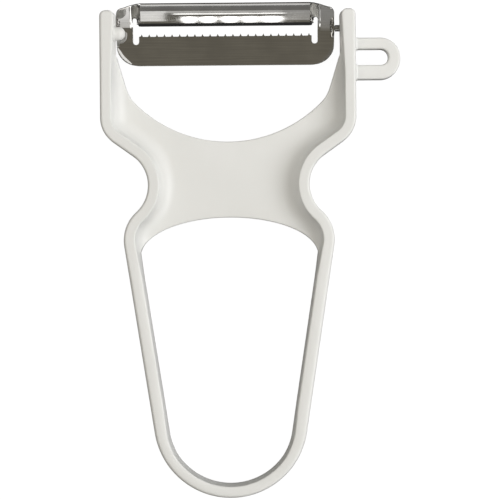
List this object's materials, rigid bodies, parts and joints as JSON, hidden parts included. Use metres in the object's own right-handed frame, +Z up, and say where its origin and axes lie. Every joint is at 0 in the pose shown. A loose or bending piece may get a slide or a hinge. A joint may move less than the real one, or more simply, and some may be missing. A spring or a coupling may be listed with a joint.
{
  "type": "julienne peeler",
  "caption": "Y-shaped hand peeler: moulded loop-handled frame with a swivelling toothed steel blade for cutting vegetables into fine strips, and an eye remover on one arm.",
  "frame": {"origin": "middle of the butt's flat back face, on the long axis of the handle", "axes": "+X across the tool towards the eye remover, +Y from the butt up to the blade, +Z up from the back face"},
  "size_m": [0.0785, 0.1291, 0.012],
  "materials": {
    "frame_plastic": "satin white moulding",
    "blade_steel": "rolled stainless sheet with a ground edge",
    "pin_steel": "turned steel"
  },
  "bodies": {
    "handle": {"handle_frame": "frame_plastic"},
    "swivelling_blade": {"blade": "blade_steel", "left_pivot_pin": "pin_steel", "right_pivot_pin": "pin_steel"}
  },
  "joints": [
    {"name": "blade_swivel", "type": "hinge", "parent": "handle", "child": "swivelling_blade", "pos_m": [-0.00065, 0.12061, 0.0055], "axis": [1, 0, 0], "range_deg": [-28, 59]}
  ]
}
